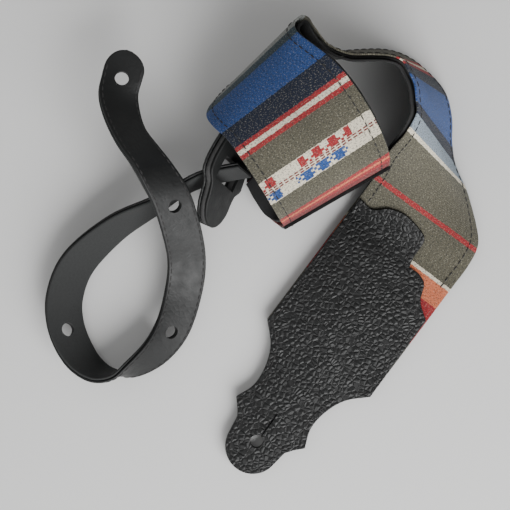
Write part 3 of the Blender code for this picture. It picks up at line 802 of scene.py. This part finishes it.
class FrontTab:
    """The scalloped leather tab with its button hole and stitched border."""

    def __init__(self, strap: StrapSizes, sizes: TabSizes, route: Route) -> None:
        self.strap, self.sizes, self.route = strap, sizes, route
        self.half = strap.width / 2 - LEATHER_TRIM

    def _outline(self) -> list[tuple[float, float]]:
        """Give the leather's outline as (along, across) points."""
        n, r, half = self.sizes.neck, self.sizes.end_radius, self.half
        runs = [
            [(0.0, half), (-0.13 * n, half - 8.6 * MM), (-0.28 * n, half - 13.0 * MM),
             (-0.44 * n, half - 14.0 * MM), (-0.585 * n, half - 10.5 * MM)],
            [(-0.585 * n, half - 10.5 * MM), (-0.64 * n, half - 14.0 * MM), (-0.70 * n, half - 17.0 * MM)],
            [(-n + r + r * math.cos(math.radians(a)), r * math.sin(math.radians(a)))
             for a in range(105, 256, 15)],
        ]
        mirror = [[(u, -w) for u, w in reversed(run)] for run in reversed(runs[:2])]
        scale = self.sizes.front_lap / (84.2 * MM)
        lobes = [
            [(46.5, -0.985), (52.3, -0.74), (60.2, -0.62), (62.8, -0.45), (62.6, -0.28)],
            [(62.6, -0.28), (68.0, -0.24), (79.7, -0.20), (83.0, 0.02), (84.2, 0.30), (81.5, 0.55),
             (76.2, 0.74), (77.0, 0.99)],
        ]
        top = [[(u * MM * scale, w * half) for u, w in run] for run in lobes]
        points: list[tuple[float, float]] = []
        for run in runs:
            points += smooth_run(run)
        points.append(runs[-1][-1])
        for run in mirror:
            points += smooth_run(run)
        points.append((0.0, -half))
        for run in top:
            points += smooth_run(run)
        points.append(top[-1][-1])
        return points

    def _plate(self, name: str, outline: Sequence[tuple[float, float]], low: float, high: float,
               material: bpy.types.Material) -> bpy.types.Object:
        """Make one leather plate flat, cut its button hole, then lay it."""
        neck = self.sizes.neck
        builder = bmesh.new()
        face = builder.faces.new([builder.verts.new((u + neck, w, low)) for u, w in outline])
        raised = bmesh.ops.extrude_face_region(builder, geom=[face])
        top = [v for v in raised["geom"] if isinstance(v, bmesh.types.BMVert)]
        bmesh.ops.translate(builder, verts=top, vec=(0, 0, high - low))
        rims = [e for e in builder.edges if all(len(f.verts) > 4 for f in e.link_faces[:1])
                or all(len(f.verts) > 4 for f in e.link_faces[1:])]
        bmesh.ops.bevel(builder, geom=rims, offset=0.3 * (high - low), segments=3, profile=0.6,
                        affect="EDGES", clamp_overlap=True)
        bmesh.ops.recalc_face_normals(builder, faces=builder.faces)
        mesh = bpy.data.meshes.new(name)
        builder.to_mesh(mesh)
        builder.free()
        obj = bpy.data.objects.new(name, mesh)
        bpy.context.scene.collection.objects.link(obj)
        z = self.sizes
        at = np.array([z.hole_inset, 0.0, 0.0])
        along, up = np.array([1.0, 0, 0]), np.array([0, 0, 1.0])
        slit = at + along * z.slit / 2
        cut([obj], [cutter(at, along, up, (z.hole, 0, 30 * MM), True),
                    cutter(slit, along, up, (z.slit, z.slit_width, 30 * MM), False)])
        return self._lay(obj, material)

    def _lay(self, obj: bpy.types.Object, material: bpy.types.Material) -> bpy.types.Object:
        """Divide a flat plate finely enough to bend, and carry it onto the route."""
        builder = bmesh.new()
        builder.from_mesh(obj.data)
        bpy.data.objects.remove(obj, do_unlink=True)
        reach = max(v.co.x for v in builder.verts)
        for s in np.arange(self.sizes.neck + 30 * MM, reach, 2 * MM):
            bmesh.ops.bisect_plane(builder, geom=builder.verts[:] + builder.edges[:] + builder.faces[:],
                                   plane_co=(s, 0, 0), plane_no=(1, 0, 0), dist=1e-6)
        bmesh.ops.triangulate(builder, faces=builder.faces[:])
        mesh = bpy.data.meshes.new("front_tab")
        builder.to_mesh(mesh)
        builder.free()
        flat = np.array([v.co[:] for v in mesh.vertices])
        for vertex, place in zip(mesh.vertices, self.route.lay(flat[:, 0], flat[:, 1], flat[:, 2])):
            vertex.co = place
        for layer in list(mesh.uv_layers):
            mesh.uv_layers.remove(layer)
        write_pattern(mesh, flat[:, :2])
        return new_object("front_tab", mesh, material)

    def _border(self, outline: Sequence[tuple[float, float]], height: float) -> np.ndarray:
        """Give the stitched border's line, inside the outline."""
        points = np.array([p for k, p in enumerate(outline) if math.dist(p, outline[k - 1]) > 0.1 * MM])
        ahead = np.roll(points, -2, axis=0) - np.roll(points, 2, axis=0)
        ahead /= np.linalg.norm(ahead, axis=1)[:, None]
        inside = points + np.stack([-ahead[:, 1], ahead[:, 0]], axis=1) * self.sizes.seam_inset
        closed = np.vstack([inside, inside[:1]])
        fine = np.vstack([np.linspace(a, b, max(2, int(math.dist(a, b) / MM)), endpoint=False)
                          for a, b in zip(closed[:-1], closed[1:])])
        return self.route.lay(fine[:, 0] + self.sizes.neck, fine[:, 1], np.full(len(fine), height))

    def build(self, paints: Finishes, stitches: StitchRow) -> list[Piece]:
        """Make the face, the filler, the lining and the border."""
        outline = self._outline()
        neck = [(u, w) for u, w in outline if u <= 0.0]
        z = self.strap
        low = -z.stack / 2
        face_low = z.stack / 2 + z.gap
        top = face_low + self.sizes.leather
        face = self._plate("face", outline, face_low, top, paints.leather("pebbled leather", 1.0, 0.46))
        filler = self._plate("filler", neck, low + z.backing + z.gap, z.stack / 2,
                             paints.plain("filler", (0.03, 0.03, 0.03), 0.5))
        lining = self._plate("lining", neck, low, low + z.backing, paints.leather("tab lining", 0.1, 0.6))
        face.name, filler.name, lining.name = "front_tab_leather", "front_tab_core", "front_tab_back"
        border = stitches.build("front_tab_stitches", self._border(outline, top + THREAD_LIFT))
        u = [p[0] for p in outline]
        area, neck_area = enclosed(outline), enclosed(neck)
        back = (z.width, self.sizes.neck)
        return [
            Piece(face, Body.STRAP, Slot.TAB, ("front_tab_face",), (z.width, max(u) - min(u)), area,
                  "laid", ("woven_cloth_face",)),
            Piece(filler, Body.STRAP, Slot.WEB, ("front_tab_filler",), back, neck_area, "laid",
                  ("front_tab_back",)),
            Piece(lining, Body.STRAP, Slot.SUEDE, ("front_tab_lining",), back, neck_area, "laid",
                  ("floor",)),
            Piece(border, Body.STRAP, Slot.THREAD, ("front_tab_seam",)),
        ]


class RearTab:
    """The leather tab at the other end, with the slot that the tail passes through."""

    def __init__(self, strap: StrapSizes, sizes: TabSizes, tail: TailSizes, route: Route) -> None:
        self.strap, self.sizes, self.tail, self.route = strap, sizes, tail, route
        self.end = route.length
        self.shoulder = route.length - sizes.neck
        self.half = strap.width / 2 - LEATHER_TRIM

    def edge(self, s: float) -> float:
        """Give the tab's half width at a distance along the route."""
        if s <= self.shoulder:
            return self.half
        radius, neck = self.sizes.end_radius, self.sizes.neck
        from_end = self.end - s
        if from_end < radius:
            return max(math.sqrt(max(radius**2 - (radius - from_end) ** 2, 0.0)), 2.2 * MM)
        knots = [radius, 0.28 * neck, 0.34 * neck, 0.72 * neck, neck]
        widths = [radius, 15.0 * MM, 20.2 * MM, 18.6 * MM, self.half]
        return float(np.interp(from_end, knots, widths))

    def build(self, paints: Finishes, stitches: StitchRow) -> list[Piece]:
        """Make the face, the filler, the lining and two seams, and cut the slot."""
        z, tab = self.strap, self.sizes
        low = -z.stack / 2
        face_low = z.stack / 2 + z.gap
        tip = [self.end - tab.end_radius * f for f in np.linspace(0.02, 0.9, 12) ** 1.6]
        lap = self.shoulder - tab.rear_lap
        neck_from = self.shoulder + 1 * MM
        grain = paints.leather("rear tab leather", 0.8, 0.46)
        face = Strip("rear_tab_leather", self.route, lap, self.end, self.edge,
                     face_low, face_low + tab.leather, 1.6 * MM, 22).build(grain, tip)
        filler = Strip("rear_tab_core", self.route, neck_from, self.end, self.edge,
                       low + z.backing + z.gap, z.stack / 2, 1.6 * MM, 16).build(
                           paints.plain("rear filler", (0.03, 0.03, 0.03), 0.5), tip)
        lining = Strip("rear_tab_back", self.route, neck_from, self.end, self.edge,
                       low, low + z.backing, 1.6 * MM, 16).build(
                           paints.leather("rear tab lining", 0.1, 0.6), tip)
        at = self.route.nearest(*SLOT_PLACE, self.shoulder)
        middle, left, normal = self.route.axes(at)
        size = (self.tail.width + self.tail.slot_clearance, self.tail.slot_width, 30 * MM)
        cut([face, filler, lining], [cutter(middle, left, normal, size, False)])
        neck_area = sum(2 * self.edge(s) for s in np.arange(neck_from, self.end, MM)) * MM
        neck_area -= size[0] * size[1]
        area = neck_area + z.width * (neck_from - lap)
        wide = (z.width, self.end - neck_from)
        pieces = [
            Piece(face, Body.STRAP, Slot.TAB, ("rear_tab_face",), (z.width, self.end - lap), area,
                  "folded", ("woven_cloth_face",)),
            Piece(filler, Body.STRAP, Slot.WEB, ("rear_tab_filler",), wide, neck_area, "folded",
                  ("rear_tab_back",)),
            Piece(lining, Body.STRAP, Slot.SUEDE, ("rear_tab_lining",), wide, neck_area, "folded",
                  ("rear_tab_core",)),
        ]
        s = np.arange(lap + tab.seam_inset, self.end - tab.end_radius, MM)
        for side, sign in (("left", 1), ("right", -1)):
            across = np.array([sign * z.seam_at * self.edge(d) for d in s])
            line = self.route.lay(s, across, np.full(len(s), face_low + tab.leather + THREAD_LIFT))
            row = stitches.build("rear_tab_%s_stitches" % side, line)
            pieces.append(Piece(row, Body.STRAP, Slot.THREAD, ("rear_tab_%s_seam" % side,)))
        return pieces


class Tail:
    """The narrow two-ply tail with its button holes and edge seams."""

    def __init__(self, sizes: TailSizes, route: Route) -> None:
        self.sizes, self.route = sizes, route

    def edge(self, s: float) -> float:
        """Give the half width, round at the tip."""
        half = self.sizes.width / 2
        back = min(self.route.length - s, half)
        return max(math.sqrt(max(half**2 - (half - back) ** 2, 0.0)), 1.6 * MM)

    def build(self, paints: Finishes, stitches: StitchRow) -> list[Piece]:
        """Lay both plies, cut the holes and sew the edges."""
        z = self.sizes
        end, half = self.route.length, z.width / 2
        tip = [end - half * f for f in np.linspace(0.02, 0.95, 12) ** 1.6]
        top = z.gap / 2 + z.ply
        face = Strip("tail_leather", self.route, 0.0, end, self.edge, z.gap / 2, top,
                     1.3 * MM, 12).build(paints.leather("smooth leather", 0.12, 0.50), tip)
        back = Strip("tail_back", self.route, 0.0, end, self.edge, -top, -z.gap / 2,
                     1.3 * MM, 12).build(paints.plain("tail suede", (0.017, 0.018, 0.018), 0.5), tip)
        tools = []
        for k in range(z.holes):
            middle, left, normal = self.route.axes(end - z.inset - k * z.pitch)
            tools.append(cutter(middle, left, normal, (z.hole, 0, 7.5 * MM), True))
        cut([face, back], tools)
        flat = (z.width, end)
        pieces = [
            Piece(face, Body.TAIL, Slot.TAIL, ("tail_face",), flat, rests_on=("tail_back",)),
            Piece(back, Body.TAIL, Slot.SUEDE, ("tail_lining",), flat, rests_on=("floor",)),
        ]
        s = np.arange(2.6 * MM, end - half, MM)
        for side, sign in (("left", 1), ("right", -1)):
            line = self.route.lay(s, np.full(len(s), sign * half * 0.85), np.full(len(s), top + THREAD_LIFT))
            row = stitches.build("tail_%s_stitches" % side, line)
            pieces.append(Piece(row, Body.TAIL, Slot.THREAD, ("tail_%s_seam" % side,)))
        return pieces


class Studio:
    """The table, the soft lights and the camera."""

    def build(self, paints: Finishes) -> None:
        """Set the stage."""
        mesh = bpy.data.meshes.new("floor")
        mesh.from_pydata([(-3, -3, 0), (3, -3, 0), (3, 3, 0), (-3, 3, 0)], [], [(0, 1, 2, 3)])
        floor = bpy.data.objects.new("floor", mesh)
        mesh.materials.append(paints.table())
        bpy.context.scene.collection.objects.link(floor)
        lamps = [
            self._lamp("key", (0.50, -0.75, 0.70), 0.9, 21.0),
            self._lamp("fill", (-0.7, 0.3, 0.9), 1.3, 3.0),
            self._lamp("front", (0.0, -1.1, 0.55), 0.9, 8.0),
        ]
        world = bpy.data.worlds.new("soft room")
        bpy.context.scene.world = world
        world.use_nodes = True
        back = world.node_tree.nodes["Background"]
        back.inputs["Color"].default_value = (1.0, 1.0, 1.0, 1.0)
        back.inputs["Strength"].default_value = 0.30
        self._camera()

    @staticmethod
    def _lamp(name: str, place: tuple[float, float, float], size: float, power: float) -> bpy.types.Object:
        """Add one large soft lamp that points at the part."""
        data = bpy.data.lights.new(name, "AREA")
        data.size, data.energy = size, power
        lamp = bpy.data.objects.new(name, data)
        lamp.location = place
        lamp.rotation_euler = (-Vector(place)).to_track_quat("-Z", "Y").to_euler()
        bpy.context.scene.collection.objects.link(lamp)
        return lamp

    @staticmethod
    def _camera() -> None:
        """Look straight down on the pile."""
        height = 0.65
        data = bpy.data.cameras.new("camera")
        data.sensor_width = 36.0
        data.lens = 92.7
        data.clip_start = 0.01
        camera = bpy.data.objects.new("camera", data)
        camera.location = Vector((0.0, 0.0, height)) + Vector(PILE_SHIFT)
        bpy.context.scene.collection.objects.link(camera)
        bpy.context.scene.camera = camera


def main() -> None:
    """Build the looks and declare every piece."""
    logging.basicConfig(level=logging.INFO)
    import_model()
    strap, tabs, tail = StrapSizes(), TabSizes(), TailSizes()
    paints = Finishes()
    dark = paints.plain("dark thread", (0.020, 0.019, 0.019), 0.3)
    stitches = StitchRow(StitchSizes(), dark)
    route = main_route(strap, tabs)
    pieces = MainStrap(strap, tabs, route).build(paints, stitches)
    pieces += FrontTab(strap, tabs, route).build(paints, stitches)
    pieces += RearTab(strap, tabs, tail, route).build(paints, stitches)
    pieces += Tail(tail, tail_route()).build(paints, stitches)
    for piece in pieces:
        piece.declare()
        LOG.info("%s: %d faces", piece.obj.name, len(piece.obj.data.polygons))
    Studio().build(paints)


main()
